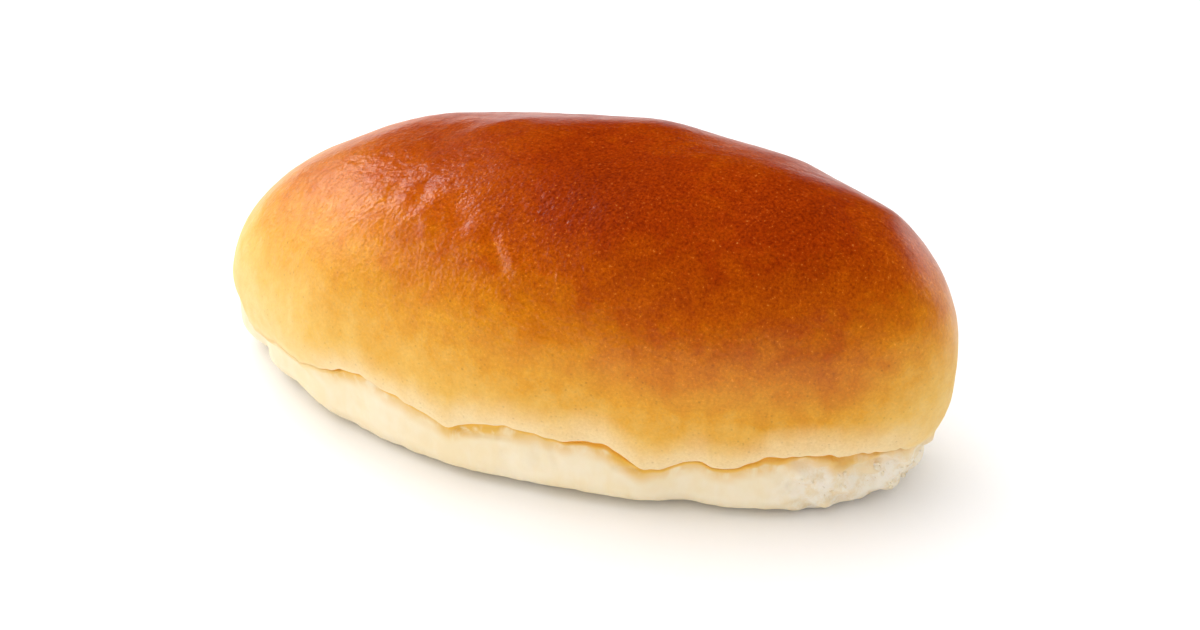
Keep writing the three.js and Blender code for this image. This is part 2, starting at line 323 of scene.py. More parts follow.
class Body:
    """The roll's plain body: upright sections set round an oval outline, in millimetres."""

    def __init__(self, settings):
        self.half_length = settings.length / MM / 2
        self.half_width = settings.width / MM / 2
        self.height = settings.height / MM
        self.fold_z = settings.fold_height / MM
        self.fold_depth = settings.fold_depth / MM

    def outline(self, t):
        a = np.radians(t)
        c, s = np.cos(a), np.sin(a)
        taper = 1 + WIDTH_TAPER * c
        dx = -self.half_length * s
        dy = self.half_width * (c * taper - WIDTH_TAPER * s * s)
        k = np.hypot(dx, dy)
        return self.half_length * c, self.half_width * s * taper, dy / k, -dx / k

    def dome_height(self, scale, c):
        top = self.height * (1 + HEIGHT_TAPER * c * scale)
        level = np.clip(1 - scale ** PLAN_FULLNESS, 0, 1) ** (1 / TOP_FULLNESS)
        return WIDEST_Z + (top - WIDEST_Z) * level

    def dome_scale(self, z, c):
        scale = 1.0
        for _ in range(3):
            top = self.height * (1 + HEIGHT_TAPER * c * scale)
            level = np.clip((z - WIDEST_Z) / (top - WIDEST_Z), 0, 1)
            scale = np.clip(1 - level ** TOP_FULLNESS, 0, 1) ** (1 / PLAN_FULLNESS)
        return scale

    def fold_height(self, t):
        return self.fold_z + waves(FOLD_WAVES, t) + wavering(t)

    def fold_gap(self, t):
        opening = CLOSED_GAP_SHARE + (1 - CLOSED_GAP_SHARE) * fold_strength(t)
        return (FOLD_GAP + waves(GAP_WAVES, t)) * opening

    def sections(self, t):
        """Band, fold and dome at azimuth t, as rows of plan scale, inset and height."""
        one = np.array([float(t)])
        fold_z = float(self.fold_height(one)[0])
        opened = float(fold_strength(one)[0])
        gap = float(self.fold_gap(one)[0])
        tuck = float(waves(END_TUCKS, one)[0])
        depth = self.fold_depth * opened
        lip_inset = LIP_INSET * opened + FAINT_LIP_INSET + TUCK_AT_LIP * tuck
        belly_inset = lip_inset + BELLY_BEHIND_LIP + tuck
        foot_change = float(waves(FOOT_WAVES, one)[0] + wavering(one + 90)[0])
        foot_inset = FOOT_INSET + foot_change + TUCK_AT_FOOT * tuck
        belly_z = BELLY_HEIGHT * fold_z
        foot = (-foot_inset - FOOT_ROUNDING, 0)
        belly = (-belly_inset, belly_z)
        groove = GROOVE + GROOVE_BY_OPENING * opened
        shoulder = (-lip_inset - 0.35 * depth - groove, fold_z - gap - SHOULDER_DROP)
        bottom = (-lip_inset - depth - groove, fold_z + 0.12 * opened)
        lip = (-lip_inset, fold_z + LIP_LIFT)

        # The band and the fold between these points, with the curves' handles in millimetres
        above_foot = (-belly_inset, belly_z * BELLY_TO_FOOT)
        lower = bend(foot, (-foot_inset - 0.1, 0), above_foot, belly, LOWER_STEPS)
        swell = 0.25 + 0.15 * depth
        below = (
            shoulder[0] + swell * opened + 0.25 * (belly[0] - shoulder[0]) * (1 - opened),
            shoulder[1] - 0.9 * opened + 0.25 * (belly[1] - shoulder[1]) * (1 - opened),
        )
        over_belly = (-belly_inset, belly_z + BELLY_TO_FOLD * fold_z)
        upper = bend(belly, over_belly, below, shoulder, UPPER_STEPS)
        inward = bend(
            shoulder, (shoulder[0] - 0.3 * depth, shoulder[1] + 0.3),
            (bottom[0] - 0.02, bottom[1] - 0.3 - 0.3 * gap), bottom, FOLD_STEPS,
        )
        outward = bend(
            bottom, (bottom[0], bottom[1] + 0.22 + 0.1 * opened),
            (lip[0] - 0.45 * depth - 0.02, lip[1] + 0.22), lip, FOLD_STEPS,
        )

        # The rolled lip where the fold is open, or a soft ledge, and the vault over it
        c = math.cos(math.radians(t))
        a = np.linspace(0, math.pi / 2, LIP_STEPS + 1)
        q = np.linspace(0, 1, LIP_STEPS + 1)
        lip_rise = LIP_RISE + LIP_RISE_BY_TUCK * tuck
        lip_z = lip[1] + lip_rise * ((1 - np.cos(a)) * opened + q * (1 - opened))
        lip_in = lip_inset * ((1 - np.sin(a)) * opened + (1 - q) ** 2 * (1 - opened))
        lip_scale = self.dome_scale(lip_z, c)
        start = math.acos(float(lip_scale[-1]) ** (PLAN_FULLNESS / 2))
        b = np.linspace(start, math.pi / 2, VAULT_STEPS + 1)[1:]
        scale = np.clip(np.cos(b), 0, 1) ** (2 / PLAN_FULLNESS)
        scale[-1] = 0
        rolled = np.stack([lip_scale, -lip_in, lip_z], 1)
        vault = np.stack([scale, 0 * scale, self.dome_height(scale, c)], 1)
        band = upright(np.concatenate([lower, upper[1:]]))
        fold = upright(np.concatenate([inward, outward[1:]]))
        return band, fold, np.concatenate([rolled, vault])

    def place(self, t, rows):
        x, y, out_x, out_y = self.outline(t)
        scale, inset, z = rows.T
        lean = (np.clip(z, 0, None) / self.height) ** LEAN_POWER
        return np.stack([
            x * scale + out_x * inset + LEAN_X * lean + SHIFT_X,
            y * scale + out_y * inset + LEAN_Y * lean + SHIFT_Y,
            z,
        ], 1)

    def azimuths(self):
        """Azimuths at equal steps along the widest outline."""
        t = np.linspace(0, 360, OUTLINE_STEPS + 1)
        x, y, _, _ = self.outline(t)
        run = np.concatenate([[0], np.cumsum(np.hypot(np.diff(x), np.diff(y)))])
        return np.interp(np.arange(AROUND) / AROUND * run[-1], run, t)

    def meridian(self, t):
        band, fold, dome = (self.place(t, rows) for rows in self.sections(t))
        q = np.arange(1, DOME_RINGS + 1) / DOME_RINGS
        biased = (1 - DOME_RING_BIAS) * q + DOME_RING_BIAS * q * q
        return np.concatenate([
            spaced(band, np.arange(BAND_RINGS + 1) / BAND_RINGS),
            spaced(fold, np.arange(1, FOLD_RINGS + 1) / FOLD_RINGS),
            spaced(dome, biased),
        ])


def bend(a, b, c, d, steps):
    q = np.linspace(0, 1, steps + 1)[:, None]
    a, b, c, d = (np.array(p, float) for p in (a, b, c, d))
    return (1 - q) ** 3 * a + 3 * q * (1 - q) ** 2 * b + 3 * q * q * (1 - q) * c + q ** 3 * d


def upright(line):
    return np.concatenate([np.ones((len(line), 1)), line], 1)


def spaced(points, shares):
    run = np.concatenate([[0], np.cumsum(np.linalg.norm(np.diff(points, axis=0), axis=1))])
    return np.stack([np.interp(shares * run[-1], run, points[:, i]) for i in range(3)], 1)


def ripples(rows, points):
    total = np.zeros(len(points))
    for x, y, z, phase, height in rows:
        turns = points @ np.array([x, y, z]) / 1000
        total += height * np.sin(2 * math.pi * turns + phase)
    return total


def from_segment(points, start, end):
    """Distance of each point from a straight segment."""
    along = end - start
    q = np.clip((points - start) @ along / (along @ along), 0, 1)
    return np.linalg.norm(points - start - q[:, None] * along, axis=1)


def marks(points):
    total = np.zeros(len(points))
    for row in MARKS:
        away = from_segment(points, np.array(row[:3], float), np.array(row[3:6], float))
        total += row[7] * np.exp(-((away / row[6]) ** 2))
    return total


def creases(points, t):
    """Depth of the band's small creases at each point."""
    front = ((t > 180) & (t < 360)).astype(float)
    flat = points[:, [0, 2]]
    deepest = np.zeros(len(points))
    for x0, z0, x1, z1, half_width, depth in CREASES:
        away = from_segment(flat, np.array([x0, z0], float), np.array([x1, z1], float))
        deepest = np.maximum(deepest, depth * np.exp(-((away / half_width) ** 2)))
    return deepest * front


def torn_share(points, t, fold_z):
    below_fold = 1 - ease((points[:, 2] - fold_z + TORN_BELOW_FOLD) / TORN_FADE)
    return stretch(TORN_STRETCH, t) * below_fold


def relief(points, t, fold_z):
    above_foot = ease((points[:, 2] - RELIEF_START_Z) / RELIEF_RISE)
    ridges = torn_share(points, t, fold_z) * ripples(CRUMB_RIDGES, points)
    return above_foot * (ripples(LUMPS, points) + marks(points) + ridges)


def browning(points):
    """Share of full browning at each point of the crust."""
    score = (points[:, 2] - HALF_BROWN_Z) * BROWN_PER_MM
    score = score - ((points[:, 0] - DARKEST_X) / PALER_REACH) ** 2
    for px, py, pz, radius, change in BROWN_PATCHES:
        away = np.linalg.norm(points - np.array([px, py, pz]), axis=1)
        score += change * np.exp(-((away / radius) ** 2))
    return 1 / (1 + np.exp(-score))


# Mesh

class RollMesh:
    """Collects the rings of the roll and joins them into one closed skin."""

    def __init__(self, body):
        self.body = body
        self.t = body.azimuths()
        self.lines = np.array([body.meridian(t) for t in self.t])
        self.points = []
        self.angles = []
        self.rings = []
        self.count = 0
        self.faces = []

    def add(self, points, angles, ring):
        first = self.count
        self.points.append(points)
        self.angles.append(angles)
        self.rings.append(np.full(len(points), float(ring)))
        self.count += len(points)
        return np.arange(first, self.count)

    def join(self, low, high):
        after = np.roll(low, -1)
        if len(high) == len(low):
            self.faces += np.stack([low, after, np.roll(high, -1), high], 1).tolist()
            return
        even, odd, ahead = low[::2], low[1::2], np.roll(low[::2], -1)
        beyond = np.roll(high, -1)
        self.faces += np.stack([even, odd, high], 1).tolist()
        self.faces += np.stack([odd, beyond, high], 1).tolist()
        self.faces += np.stack([odd, ahead, beyond], 1).tolist()

    def build(self):
        lines = self.lines
        middle = lines.mean(0)
        reach = np.hypot(*(lines - middle)[:, :, :2].transpose(2, 0, 1)).mean(0)
        foot = self.add(lines[:, 0], self.t, 0)
        low = foot
        step = 1
        last = lines.shape[1] - 1
        for r in range(1, last):
            share = reach[r] / reach.max()
            halvings = int(math.log2(step))
            on_dome = r > BAND_RINGS + FOLD_RINGS
            if on_dome and halvings < len(HALVE_BELOW) and share < HALVE_BELOW[halvings]:
                step *= 2
            high = self.add(lines[::step, r], self.t[::step], r)
            self.join(low, high)
            low = high
        crown = self.add(middle[last][None], np.zeros(1), last)[0]
        self.faces += [[a, b, crown] for a, b in zip(low.tolist(), np.roll(low, -1).tolist())]
        self.build_underside(foot, middle[0])

    def build_underside(self, foot, centre):
        first_face = len(self.faces)
        low = foot
        edge = self.lines[:, 0]
        step = 1
        for i, scale in enumerate(UNDERSIDE_SCALES):
            if i in UNDERSIDE_HALVINGS:
                step *= 2
            ring = centre + scale * (edge[::step] - centre)
            high = self.add(ring, self.t[::step], UNDERSIDE_RING)
            self.join(low, high)
            low = high
        base = self.add(centre[None], np.zeros(1), UNDERSIDE_RING)[0]
        self.faces += [[a, b, base] for a, b in zip(low.tolist(), np.roll(low, -1).tolist())]
        self.faces[first_face:] = [face[::-1] for face in self.faces[first_face:]]

    def to_mesh(self, name):
        points = np.concatenate(self.points)
        angles = np.concatenate(self.angles)
        rings = np.concatenate(self.rings)
        mesh = bpy.data.meshes.new(name)
        mesh.from_pydata((points * MM).tolist(), [], self.faces)
        mesh.update()
        normals = np.zeros(len(points) * 3)
        mesh.vertex_normals.foreach_get("vector", normals)
        normals = normals.reshape(-1, 3)
        fold_z = self.body.fold_height(angles)
        height = np.where(rings >= 0, relief(points, angles, fold_z), 0)
        height -= creases(points, angles) * (rings >= 0) * (rings <= BAND_RINGS)
        moved = points + normals * height[:, None]
        mesh.vertices.foreach_set("co", (moved * MM).ravel())
        mesh.update()
        for attribute, values in self.masks(points, angles, rings, fold_z).items():
            layer = mesh.attributes.new(attribute, "FLOAT", "POINT")
            layer.data.foreach_set("value", values.astype(np.float32))
        mesh.polygons.foreach_set("use_smooth", np.ones(len(mesh.polygons), bool))
        return mesh

    def masks(self, points, angles, rings, fold_z):
        z = points[:, 2]
        opened = fold_strength(angles)
        in_fold = (rings - BAND_RINGS) / FOLD_RINGS
        over_rings = rings - BAND_RINGS - FOLD_RINGS
        over_fold = 1 - ease((z - fold_z + SHARP_BAND_START) / SHARP_BAND_FADE)
        sharp_band = np.where(rings < BAND_RINGS + FOLD_RINGS, 1, over_fold)
        soft_band = 1 - ease((z - fold_z + SOFT_BAND_START) / SOFT_BAND_FADE)
        sharpness = np.clip(BAND_SHARPENING * (opened - FAINT_FOLD), 0, 1)
        bumpy = from_segment(points, np.array(BUMPY_FROM), np.array(BUMPY_TO))
        shoulder_z = fold_z - self.body.fold_gap(angles) - SHOULDER_DROP
        below_fold = np.minimum(z - shoulder_z, 0)
        above_fold = np.maximum(z - fold_z - LIP_LIFT, 0)
        return {
            "from_fold": np.where(rings <= BAND_RINGS, below_fold, above_fold),
            "open_fold": opened,
            # Reach of the painted golden glow of bounced light below the fold
            "golden": sum(stretch(row, angles) for row in BOUNCED_GLOW_STRETCHES),
            "crease": creases(points, angles) * (rings <= BAND_RINGS),
            "browning": browning(points),
            "fold": np.sin(math.pi * np.clip(in_fold, 0, 1)) * opened,
            "dome": ease(over_rings / DOME_BLEND_RINGS),
            "band": sharp_band * sharpness + soft_band * (1 - sharpness),
            "torn": torn_share(points, angles, fold_z) * (rings >= 0),
            "bumpy": np.exp(-((bumpy / BUMPY_RADIUS) ** 2)),
            "above_table": ease((z - TABLE_FADE_START_Z) / TABLE_FADE),
            "gloss": ease((z - GLOSS_START_Z) / GLOSS_RISE),
        }


# Nodes

class Value:
    """One socket of a node tree; arithmetic on it adds Math nodes."""

    def __init__(self, tree, socket):
        self.tree = tree
        self.socket = socket

    def math(self, operation, *others):
        inputs = dict(enumerate((self, *others)))
        return self.tree.node("ShaderNodeMath", {"operation": operation}, inputs)

    def most(self, other):
        return self.math("MAXIMUM", other)

    def __add__(self, other):
        return self.math("ADD", other)

    def __radd__(self, other):
        return self.math("ADD", other)

    def __sub__(self, other):
        return self.math("SUBTRACT", other)

    def __rsub__(self, other):
        return self.tree.node("ShaderNodeMath", {"operation": "SUBTRACT"}, {0: other, 1: self})

    def __mul__(self, other):
        return self.math("MULTIPLY", other)

    def __pow__(self, other):
        return self.math("POWER", other)


class Tree:
    """Adds nodes to a shader or geometry tree."""

    def __init__(self, tree):
        self.tree = tree

    def node(self, kind, settings=None, inputs=None, output=0):
        """A node of the type given: its settings first, then its inputs' links or values."""
        node = self.tree.nodes.new(kind)
        for key, value in (settings or {}).items():
            if key == "stops":
                self.set_stops(node.color_ramp, value)
            else:
                setattr(node, key, value)
        for key, value in (inputs or {}).items():
            socket = node.inputs[key]
            if isinstance(value, Value):
                self.tree.links.new(value.socket, socket)
            elif value is not None:
                socket.default_value = value
        return Value(self, node.outputs[output])

    def set_stops(self, ramp, stops):
        while len(ramp.elements) < len(stops):
            ramp.elements.new(1.0)
        for element, (place, colour) in zip(ramp.elements, stops):
            element.position = place
            element.color = colour

    def mix(self, share, a, b, blend="MIX"):
        """Colour a where the share is 0, colour b where it is 1."""
        settings = {"data_type": "RGBA", "blend_type": blend}
        return self.node("ShaderNodeMix", settings, {0: share, 6: a, 7: b}, 2)

    def stretched(self, vector, factors):
        return self.node("ShaderNodeVectorMath", {"operation": "MULTIPLY"}, {0: vector, 1: factors})

    def noise(self, vector, scale, detail=2.0, roughness=0.5, distortion=0.0):
        """Noise centred on 0, between about -0.5 and 0.5."""
        inputs = {
            "Vector": vector, "Scale": scale, "Detail": detail,
            "Roughness": roughness, "Distortion": distortion,
        }
        return self.node("ShaderNodeTexNoise", None, inputs) - 0.5

    def cells(self, vector, scale):
        """Distance to the nearest cell centre, and a random number for that cell."""
        distance = self.node("ShaderNodeTexVoronoi", None, {"Vector": vector, "Scale": scale})
        colour = Value(self, distance.socket.node.outputs["Color"])
        return distance, self.node("ShaderNodeSeparateXYZ", None, {0: colour})

    def step(self, value, low, high):
        """Rises smoothly from 0 to 1 as the value goes from low to high."""
        settings = {"interpolation_type": "SMOOTHSTEP"}
        inputs = {0: value, 1: low, 2: high, 3: 0.0, 4: 1.0}
        return self.node("ShaderNodeMapRange", settings, inputs)


def linear(red, green, blue):
    """A colour on the 0 to 255 display scale as linear light, with full alpha."""
    def channel(v):
        v /= 255
        return v / 12.92 if v <= 0.04045 else ((v + 0.055) / 1.055) ** 2.4
    return (channel(red), channel(green), channel(blue), 1.0)


def new_material(name):
    material = bpy.data.materials.new(name)
    material.use_nodes = True
    material.node_tree.nodes.clear()
    return material, Tree(material.node_tree)


def finish_material(tree, colour, roughness, normal, constants):
    inputs = {"Base Color": colour, "Roughness": roughness, "Normal": normal}
    surface = tree.node("ShaderNodeBsdfPrincipled", None, {**inputs, **constants})
    output = tree.tree.nodes.new("ShaderNodeOutputMaterial")
    tree.tree.links.new(surface.socket, output.inputs["Surface"])


def attribute(tree, name):
    settings = {"attribute_type": "GEOMETRY", "attribute_name": name}
    return tree.node("ShaderNodeAttribute", settings, None, 2)


CRUST_MASKS = (
    "browning", "band", "fold", "torn", "dome", "gloss", "bumpy", "from_fold", "open_fold",
    "golden", "crease",
)

# Tones of the crust from unbaked to fully browned
CRUST_STOPS = [
    (0.0, linear(250, 226, 168)),
    (0.08, linear(246, 212, 138)),
    (0.2, linear(239, 188, 88)),
    (0.34, linear(228, 158, 40)),
    (0.5, linear(208, 120, 10)),
    (0.66, linear(178, 78, 3)),
    (0.82, linear(146, 47, 2)),
    (1.0, linear(112, 30, 1)),
]


def crust_material(settings):
    material, tree = new_material("baked_crust")
    place = tree.node("ShaderNodeTexCoord", None, None, 3)
    brown, band, fold, torn, dome, gloss, bumpy, from_fold, open_fold, golden, crease = (
        attribute(tree, name) for name in CRUST_MASKS
    )
    fold_inside = tree.step(fold, 0.02, 0.5)

    broad = tree.noise(place, BROAD, 3.0)
    mottle = tree.noise(place, MOTTLE, 1.5, 0.55)
    grain = tree.noise(place, GRAIN, 3.0, 0.75)
    dust = tree.noise(place, DUST, 2.0, 0.7)
    half_brown = brown * (1.0 - brown) * 4.0
    uneven = broad * 0.2 + mottle * 0.2 + grain * 0.15 + dust * 0.05
    share = brown + uneven * (half_brown * 0.6 + 0.35)
    crust = tree.node("ShaderNodeValToRGB", {"stops": CRUST_STOPS}, {0: share})

    creamy = tree.step(from_fold + broad * 6.0, 8.0, 0.5) * open_fold
    crust = tree.mix(creamy * 0.65, crust, settings.band_deep)
    streaks = tree.noise(tree.stretched(place, STREAK_STRETCH), STREAKS, 3.0, 0.6, 0.6)
    band_share = tree.step(streaks * 0.5 + broad + mottle * 0.5, -0.3, 0.3)
    band_colour = tree.mix(band_share, settings.band_deep, settings.band_pale)
    crumb_share = tree.step(mottle + grain * 0.6, -0.2, 0.15)
    crumb_colour = tree.mix(crumb_share, settings.crumb_deep, settings.crumb_pale)
    lower = tree.mix(torn, band_colour, crumb_colour)
    skin = tree.mix(tree.step(band + mottle * 0.25, 0.25, 0.85), crust, lower)

    # Painted golden glow of light bounced under the lip of the open fold and in the band's small
    # creases
    wander = from_fold + mottle * 0.5
    under_lip = tree.step(wander, -3.6, -0.6) * tree.step(from_fold, 0.3, 0.0)
    bounced_glow = under_lip * (golden * 0.7 + 0.65) * tree.step(streaks + mottle, -0.35, 0.1) * open_fold
    bounced_glow = bounced_glow.most(tree.step(crease, 0.3, 0.5) * 0.7) * (1.0 - torn * 0.4)
    skin = tree.mix(bounced_glow, skin, settings.painted_bounce_below_fold)
    # Painted shade along the crease line and inside the open fold, in a golden tone for light bounced
    # there
    line = tree.step(wander, -0.75, -0.25) * tree.step(from_fold, 0.2, 0.0) * open_fold
    in_shade = (line * 0.85).most(fold_inside) * (1.0 - torn * 0.7)
    skin = tree.mix(in_shade, skin, settings.fold_shade_and_glow)

    speck_away, speck_pick = tree.cells(place, SPECKS)
    dark_speck = tree.step(speck_away, 0.34, 0.1) * tree.step(speck_pick, 0.7, 0.95) * dome
    skin = tree.mix(dark_speck * (brown * 0.5 + 0.08), skin, settings.speck_dark)
    light_speck = tree.step(dust, 0.14, 0.3) * dome * (half_brown * 0.7 + 0.3)
    skin = tree.mix(light_speck * 0.35, skin, settings.speck_light)
    # Partly real grain of the crust's colour, partly painted light and shade of its fine bumps
    grain_and_painted_shade = 0.5 + (dust * 3.6 + grain * 1.6) * (brown * brown + 0.06) * (1.0 - band)
    colour = tree.mix(1.0, skin, tree.mix(grain_and_painted_shade, DARK_GRAIN_AND_SHADE, PALE_GRAIN_AND_LIGHT), "MULTIPLY")
    roughness = 0.7 - gloss * 0.38 + mottle * 0.14

    # Heights in millimetres
    pore_away, pore_pick = tree.cells(place, PORES)
    pores = tree.step(pore_away, 0.42, 0.1) * tree.step(pore_pick, 0.35, 0.8)
    crumb_away, _ = tree.cells(tree.stretched(place, CELL_STRETCH), CRUMB_CELLS)
    fine = tree.noise(place, FINE, 1.0)
    finer = tree.noise(place, FINER, 1.0)
    pit_away, pit_pick = tree.cells(place, PITS)
    pits = tree.step(pit_away, 0.3, 0.08) * tree.step(pit_pick, 0.45, 0.8) * bumpy
    crust_height = (fine * 0.12 + finer * 0.07 - pores * 0.03) * (0.5 + bumpy * 1.3) - pits * 0.08
    band_height = streaks * 0.03 + mottle * 0.05 + fine * 0.04
    crumb_height = tree.step(crumb_away, 0.1, 0.7) * 0.03 + mottle * 0.3 + fine * 0.2 + finer * 0.08
    baked = crust_height * (1.0 - band * 0.5) + band_height * band
    height = baked * (1.0 - torn) + crumb_height * torn
    bump = tree.node("ShaderNodeBump", None, {"Strength": 1.0, "Distance": MM, "Height": height})
    constants = {
        "Subsurface Weight": 0.08, "Subsurface Scale": 0.003,
        "Subsurface Radius": (0.8, 0.5, 0.3), "Specular IOR Level": 0.32,
    }
    finish_material(tree, colour, roughness, bump, constants)
    return material


def crumb_material(settings):
    material, tree = new_material("torn_crumb")
    place = tree.node("ShaderNodeTexCoord", None, None, 3)
    mottle = tree.noise(place, CRUMB_MOTTLE, 3.0, 0.6)
    colour = tree.mix(tree.step(mottle, -0.2, 0.2), settings.crumb_deep, settings.crumb_pale)
    bump = tree.node("ShaderNodeBump", None, {"Strength": 0.5, "Distance": 0.0002, "Height": mottle})
    constants = {
        "Subsurface Weight": 0.2, "Subsurface Scale": 0.002,
        "Subsurface Radius": (1.0, 0.6, 0.35),
    }
    finish_material(tree, colour, 0.85, bump, constants)
    return material


def floor_material(settings):
    material, tree = new_material("pale_table")
    finish_material(tree, settings.floor_colour, 0.6, None, {"Specular IOR Level": 0.2})
    return material


# Geometry trees

class GeometryTree(Tree):
    """A geometry tree with named inputs, run once on a mesh."""

    def __init__(self, name):
        super().__init__(bpy.data.node_groups.new(name, "GeometryNodeTree"))
        self.tree.interface.new_socket("Geometry", in_out="INPUT", socket_type="NodeSocketGeometry")
        self.tree.interface.new_socket("Geometry", in_out="OUTPUT", socket_type="NodeSocketGeometry")
        self.entry = self.tree.nodes.new("NodeGroupInput")
        self.exit = self.tree.nodes.new("NodeGroupOutput")
        self.values = {}

    def geometry(self):
        return Value(self, self.entry.outputs["Geometry"])

    def input(self, name, value, kind="NodeSocketFloat"):
        item = self.tree.interface.new_socket(name, in_out="INPUT", socket_type=kind)
        self.values[item.identifier] = value
        return Value(self, self.entry.outputs[name])

    def named(self, name):
        settings = {"data_type": "FLOAT"}
        return self.node("GeometryNodeInputNamedAttribute", settings, {"Name": name})

    def pushed_out(self, geometry, height):
        """The geometry with each point moved along its normal."""
        normal = self.node("GeometryNodeInputNormal")
        offset = self.node("ShaderNodeVectorMath", {"operation": "SCALE"}, {0: normal, 3: height})
        return self.node("GeometryNodeSetPosition", None, {"Geometry": geometry, "Offset": offset})

    def close(self, geometry, material):
        real = self.node("GeometryNodeRealizeInstances", None, {0: geometry})
        coated = self.node(
            "GeometryNodeSetMaterial", None,
            {"Geometry": real, "Material": self.input("Material", material, "NodeSocketMaterial")},
        )
        self.tree.links.new(coated.socket, self.exit.inputs[0])

    def run(self, mesh, name):
        """The mesh that the tree makes from the one given, as a new object."""
        source = bpy.data.objects.new(name, mesh)
        bpy.context.scene.collection.objects.link(source)
        modifier = source.modifiers.new("Shape", "NODES")
        modifier.node_group = self.tree
        for identifier, value in self.values.items():
            modifier[identifier] = value
        graph = bpy.context.evaluated_depsgraph_get()
        made = bpy.data.meshes.new_from_object(source.evaluated_get(graph), depsgraph=graph)
        source.modifiers.remove(modifier)
        bpy.data.objects.remove(source)
        made.name = name
        piece = bpy.data.objects.new(name, made)
        bpy.context.scene.collection.objects.link(piece)
        return piece


def skin_tree(settings, material):
    """Swells, wrinkles, pores and torn cells of the skin, on the plain roll."""
    tree = GeometryTree("Baked skin")
    place = tree.node("GeometryNodeInputPosition")
    dome, bumpy, torn = tree.named("dome"), tree.named("bumpy"), tree.named("torn")
    band, table = tree.named("band"), tree.named("above_table")
    swell_height = tree.input("Swell height", settings.swell_height)
    wrinkle_height = tree.input("Wrinkle height", settings.wrinkle_height)
    pore_depth = tree.input("Pore depth", settings.pore_depth)
    crumb_depth = tree.input("Crumb depth", settings.crumb_depth)

    swell = tree.noise(place, SWELLS, 2.0) * swell_height * 2.0 * dome
    slant = tree.stretched(place, WRINKLE_STRETCH)
    wrinkle = tree.noise(slant, WRINKLES, 2.0, 0.5, 0.6) * wrinkle_height * 2.0
    wrinkle = wrinkle * (bumpy * 0.85 + 0.15) * dome
    away, pick = tree.cells(place, HOLLOWS)
    pores = tree.step(away, 0.34, 0.08) * tree.step(pick, 0.55, 0.85) * pore_depth
    pores = pores * (bumpy * 0.8 + 0.2) * dome
    hollows = tree.step(away, 0.55, 0.1) * (pick * 0.8 + 0.4)
    crumb = tree.noise(place, TORN_LUMPS, 2.0) * 1.8 + tree.noise(place, TORN_TUFTS, 1.0) * 1.2
    crumb = (crumb - hollows * 0.12) * crumb_depth * torn
    upright_streaks = tree.noise(tree.stretched(place, STREAK_STRETCH), BAND_STREAKS, 2.0)
    streaks = upright_streaks * BAND_STREAK_HEIGHT * band
    height = (swell + wrinkle - pores + crumb + streaks) * table
    tree.close(tree.pushed_out(tree.geometry(), height), material)
    return tree


def crumb_tree(settings, material):
    """Loose crumbs that cling to the torn corner."""
    tree = GeometryTree("Clinging crumbs")
    torn, from_fold = tree.named("torn"), tree.named("from_fold")
    density = tree.input("Crumbs per square metre", settings.crumb_density)
    small = tree.input("Smallest crumb", settings.crumb_smallest)
    large = tree.input("Largest crumb", settings.crumb_largest)
    lift = tree.node("ShaderNodeSeparateXYZ", None, {0: tree.node("GeometryNodeInputPosition")}, 2)
    off_table = tree.step(lift, 0.0014, 0.003)
    off_fold = tree.step(from_fold, -1.2, -2.2)
    where = tree.step(torn, 0.6, 0.95) * off_table * off_fold
    spread = {"distribute_method": "RANDOM"}
    points = tree.node(
        "GeometryNodeDistributePointsOnFaces", spread,
        {"Mesh": tree.geometry(), "Density": density * where, "Seed": 7},
    )
    ball = tree.node("GeometryNodeMeshIcoSphere", None, {"Radius": 1.0, "Subdivisions": 2})
    place = tree.node("GeometryNodeInputPosition")
    lumpy = tree.pushed_out(ball, tree.noise(place, 1.3, 2.0) * 0.7)
    turn = {"data_type": "FLOAT_VECTOR"}
    rotation = tree.node(
        "FunctionNodeRandomValue", turn, {0: (0, 0, 0), 1: FULL_TURNS, "Seed": 3})
    one = {"data_type": "FLOAT"}
    share = tree.node("FunctionNodeRandomValue", one, {2: 0.0, 3: 1.0, "Seed": 5}, 1)
    size = small + (large - small) * share ** 3.0
    flat = tree.node(
        "FunctionNodeRandomValue", turn, {0: FLATTEST, 1: ROUNDEST, "Seed": 9})
    scale = tree.node("ShaderNodeVectorMath", {"operation": "SCALE"}, {0: flat, 3: size})
    heap = tree.node(
        "GeometryNodeInstanceOnPoints", None,
        {"Points": points, "Instance": lumpy, "Rotation": rotation, "Scale": scale},
    )
    tree.close(heap, material)
    return tree


# Settings, operators and panel

